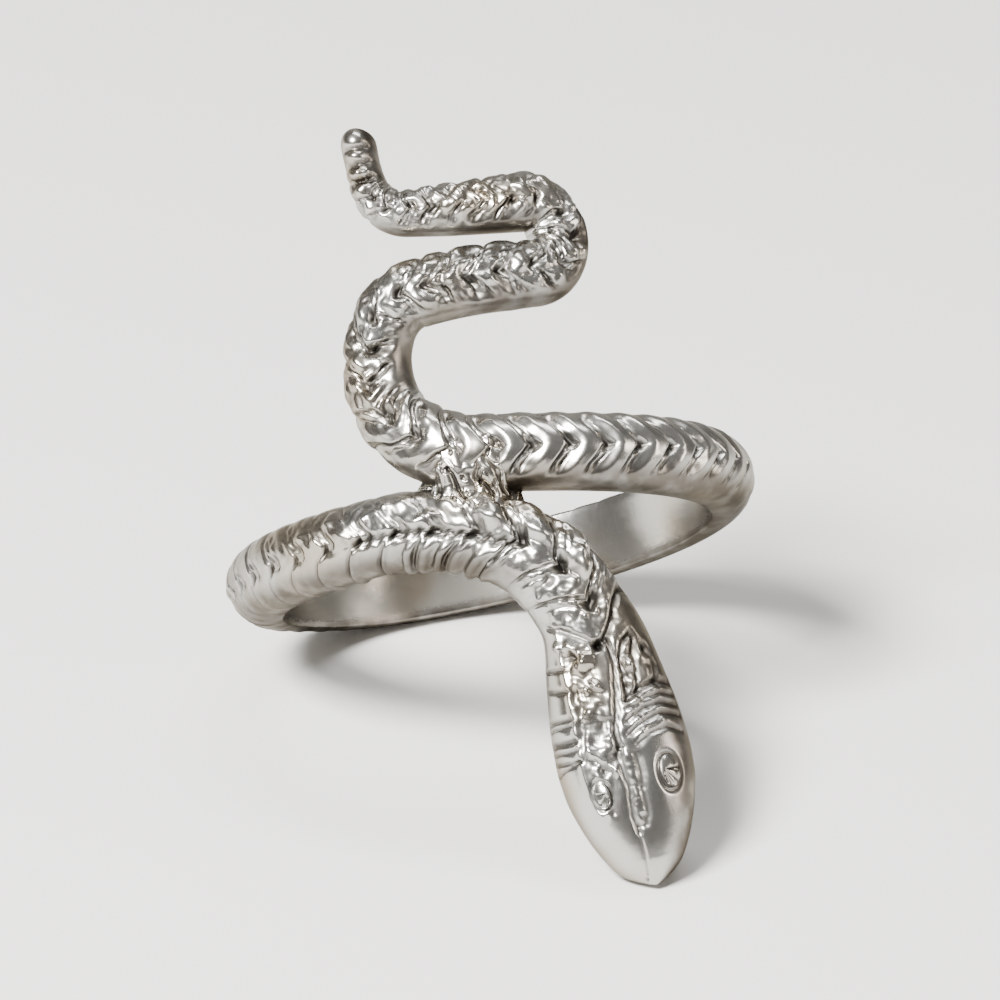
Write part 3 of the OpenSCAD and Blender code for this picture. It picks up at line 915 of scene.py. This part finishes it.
band_low = np.clip(gap_dark * bead_gap + arm_cut_dark * arm_cut, 0, 1)
band_raise = bead + arm_lumps - gap_depth * bead_gap - arm_cut_depth * arm_cut
band_grid["points"] += band_grid["out"] * band_raise[..., None]
band_grid["points"] = clear_of_finger(band_grid["points"])
band = closed_mesh("band_and_tail", band_grid["points"], relief_values(band_grid, band_low))
band = with_rows(band)
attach(band, "root")

# The cast join
# Where the tail passes above the neck, the two are run together with silver. The lump has
# stiff slanting folds and a few pits, and sinks into the crests of both bodies.
join_mid = (-0.13 * body_w, neck_start[1] + 0.36 * body_w)
join_half_l = 2.6
join_half_w = 1.95
join_saddle = 1.42
join_end_drop = 1.4
join_inside = 0.12
join_slope = math.radians(-16)
join_rings, join_columns, join_under_n = 170, 150, 12
join_soft = 0.45
fold_pitch = 0.84
fold_slant = 0.38
fold_h = 0.15
valley_w = 0.30
pit_d = 0.12
# How far the silver sinks: all over, more under the bodies' crests, and more at its edge
join_sink, crest_sink, edge_sink = 0.12, 0.22, 0.5
# The stretches of neck and tail that the join covers, in millimetres from the snout
join_below = (9, 24)
join_above = (tail_from + 8, tail_from + 26)


def wander(x, y, wave, seed):
    """A soft uneven field between about -1 and 1, whose lumps are about one wave long."""
    rng = np.random.default_rng(seed)
    total = 0
    for k in range(9):
        turn, phase = rng.uniform(0, 2 * math.pi, 2)
        reach = 2 * math.pi / (wave * rng.uniform(0.7, 1.4))
        total = total + np.sin(reach * (x * math.cos(turn) + y * math.sin(turn)) + phase)
    return total / 3.6


def body_over(x, y, first, last, back):
    """The height of the snake's body over each point, with its flanks run out."""
    path = np.arange(first, last, 0.1)
    px, py = np.interp(path, line_s, line[:, 0]) + back, np.interp(path, line_s, line[:, 1])
    gap = np.hypot(x[..., None] - px, y[..., None] - py)
    nearest = gap.argmin(-1)
    gap, at = gap.min(-1), path[nearest]
    half, crest = half_w(at), crest_h(at)
    arch = np.sqrt(np.clip(1 - (gap / half) ** 2, 0, 1))
    return crest * mix(spring_share[0], 1, arch) - 3 * np.clip(gap - half, 0, None)


def join_points():
    """A grid over the join and under it, and how dark each point is."""
    u = np.linspace(-1, 1, join_rings)[:, None]
    over, back = np.linspace(-1, 1, join_columns), np.linspace(1, -1, join_under_n + 2)[1:-1]
    v = np.concatenate([over, back])[None]
    top = (np.arange(v.shape[1]) < join_columns)[None]
    # An oblong patch over both bodies, narrower at its ends
    narrow = np.sqrt(1 - np.clip((np.abs(u) - 0.4) / 0.6, 0, 1) ** 2 * 0.8)
    a, b = u * join_half_l * (0.78 + 0.22 * v**2), v * join_half_w * narrow
    x = join_mid[0] + a * math.cos(join_slope) - b * math.sin(join_slope)
    y = join_mid[1] + a * math.sin(join_slope) + b * math.cos(join_slope)
    # The silver fills the valley between the bodies up to a saddle
    bodies = np.maximum(body_over(x, y, *join_below, 0), body_over(x, y, *join_above, round_l))
    end_reach = np.abs(u) + 0.04 * wander(x, y, 0.8, 5)
    web = join_saddle - join_end_drop * smooth(0.5, 1.0, end_reach) ** 1.3
    run = (bodies + web + np.sqrt((bodies - web) ** 2 + join_soft**2)) / 2
    webby = 1 - smooth(-0.1, 0.55, bodies - web)
    # Folds with dark valleys between them, lumps and pits
    across = (x + fold_slant * (y - join_mid[1])) / fold_pitch + 0.24 * wander(x, y, 1.1, 2)
    fold = np.abs(np.sin(math.pi * across))
    valley = np.exp(-((fold / valley_w) ** 2))
    lump = np.minimum(np.abs(wander(x, y, 0.9, 4)), 0.8)
    pits = smooth(0.65, 1.1, wander(x, y, 0.6, 8))
    relief = 0.05 + 0.08 * lump + fold_h * fold * webby - (0.05 + 0.13 * webby) * valley - pit_d * pits
    reach = np.hypot(u, v * 0.94) + 0.07 * wander(x, y, 0.7, 3)
    cover = 1 - smooth(0.62, 0.92, reach)
    h = (run + cover * relief - join_sink - crest_sink * smooth(0.2, 0.5, bodies - web)
         - edge_sink * smooth(0.8, 1.0, reach))
    h = np.where(top, np.maximum(h, join_inside), join_inside)
    low = 0.6 * valley * (0.2 + 0.8 * webby) + 0.7 * pits + 0.5 * (1 - smooth(0.0, 0.1, lump))
    turn = x / crest_r
    r = bore_r + 0.05 + h
    return np.stack([r * np.sin(turn), -r * np.cos(turn), y], -1), np.clip(low * cover, 0, 1) * top


join_grid, join_low = join_points()
join = with_rows(closed_mesh("cast_join", join_grid, {"recess": join_low}))
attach(join, "root")

# The floor
# A plain pale sheet that curves up behind the ring, in metres.
floor_half = 1.2
sweep_from = 0.25
sweep_r = 0.4
sweep_steps = 12
sheet_top = 1.6
sweep = [(-floor_half, 0.0), (sweep_from, 0.0)]
for step in range(1, sweep_steps + 1):
    angle = step / sweep_steps * math.pi / 2
    sweep.append((sweep_from + sweep_r * math.sin(angle), sweep_r - sweep_r * math.cos(angle)))
sweep.append((sweep_from + sweep_r, sheet_top))
floor_verts = [(x, y, z) for x in (-floor_half, floor_half) for y, z in sweep]
floor_n = len(sweep)
floor_mesh = bpy.data.meshes.new("floor")
floor_mesh.from_pydata(floor_verts, [],
                       [(i, floor_n + i, floor_n + i + 1, i + 1) for i in range(floor_n - 1)])
floor_mesh.shade_smooth()
floor = bpy.data.objects.new("floor", floor_mesh)
bpy.context.scene.collection.objects.link(floor)
floor_finish = bpy.data.materials.new("pale_floor")
floor_finish.use_nodes = True
floor_shader = floor_finish.node_tree.nodes["Principled BSDF"]
floor_shader.inputs["Base Color"].default_value = (0.60, 0.596, 0.585, 1)
floor_shader.inputs["Roughness"].default_value = 0.75
floor_mesh.materials.append(floor_finish)

# The studio
# One broad soft light above and in front on the left, a weak one above, a weaker one from
# the right, and a dim grey room, so that the silver has something dark to mirror.
room_low, room_low_tone = 0.42, (0.20, 0.19, 0.178, 1)
room_high, room_high_tone = 0.86, (0.46, 0.46, 0.46, 1)
room_strength = 0.6
world = bpy.data.worlds.new("studio")
bpy.context.scene.world = world
world.use_nodes = True
room = world.node_tree
height_in_room = node(room, "ShaderNodeSeparateXYZ")
feed(room, node(room, "ShaderNodeTexCoord").outputs["Generated"], height_in_room.inputs[0])
room_tone = node(room, "ShaderNodeValToRGB")
room_tone.color_ramp.elements[0].position = room_low
room_tone.color_ramp.elements[0].color = room_low_tone
room_tone.color_ramp.elements[1].position = room_high
room_tone.color_ramp.elements[1].color = room_high_tone
feed(room, Amount(room, height_in_room.outputs["Z"]) * 0.5 + 0.5, room_tone.inputs["Fac"])
feed(room, room_tone.outputs["Color"], room.nodes["Background"].inputs["Color"])
room.nodes["Background"].inputs["Strength"].default_value = room_strength
lit_point = (0, 0, 0.01)


def soft_light(name, where, size, power, colour):
    """An oblong lamp that faces the ring: place and size in metres, power in watts."""
    lamp = bpy.data.lights.new(name, "AREA")
    lamp.shape = "RECTANGLE"
    lamp.size, lamp.size_y = size
    lamp.energy = power
    lamp.color = colour
    made = bpy.data.objects.new(name, lamp)
    bpy.context.scene.collection.objects.link(made)
    made.location = where
    made.rotation_mode = "QUATERNION"
    made.rotation_quaternion = (Vector(lit_point) - Vector(where)).to_track_quat("-Z", "Y")


soft_light("key", (-0.16, -0.18, 0.30), (0.14, 0.10), 7.6, (1, 0.99, 0.97))
soft_light("top", (0.05, 0.12, 0.40), (0.30, 0.08), 1.1, (1, 1, 1))
soft_light("right", (0.33, -0.06, 0.12), (0.10, 0.16), 0.45, (1, 0.90, 0.80))

# The camera
# It looks at the ring along the line on which the photograph was taken, 250 millimetres
# away, and is tilted a little to its left.
view_distance = 250
look_up = math.radians(9)
tilt = math.radians(12)
picture_px = 1000
pixels_per_mm = 25.4
ring_at = (488.5, 524.0)
sensor = 36.0
camera_data = bpy.data.cameras.new("camera")
camera_data.sensor_width = sensor
camera_data.lens = pixels_per_mm * view_distance * sensor / picture_px
camera_data.clip_start = 0.01
camera_data.clip_end = 20
camera_data.shift_x = (picture_px / 2 - ring_at[0]) / picture_px
camera_data.shift_y = (ring_at[1] - picture_px / 2) / picture_px
camera = bpy.data.objects.new("camera", camera_data)
bpy.context.scene.collection.objects.link(camera)
ahead = Vector((0, math.cos(look_up), math.sin(look_up)))
flat_up = Vector((0, -math.sin(look_up), math.cos(look_up)))
image_right = math.cos(tilt) * Vector((1, 0, 0)) - math.sin(tilt) * flat_up
image_up = math.sin(tilt) * Vector((1, 0, 0)) + math.cos(tilt) * flat_up
turn_only = laid.to_3x3().normalized()
camera_axes = Matrix([turn_only @ image_right, turn_only @ image_up, turn_only @ -ahead]).transposed()
camera.matrix_world = Matrix.Translation(laid @ (-ahead * view_distance)) @ camera_axes.to_4x4()
bpy.context.scene.camera = camera
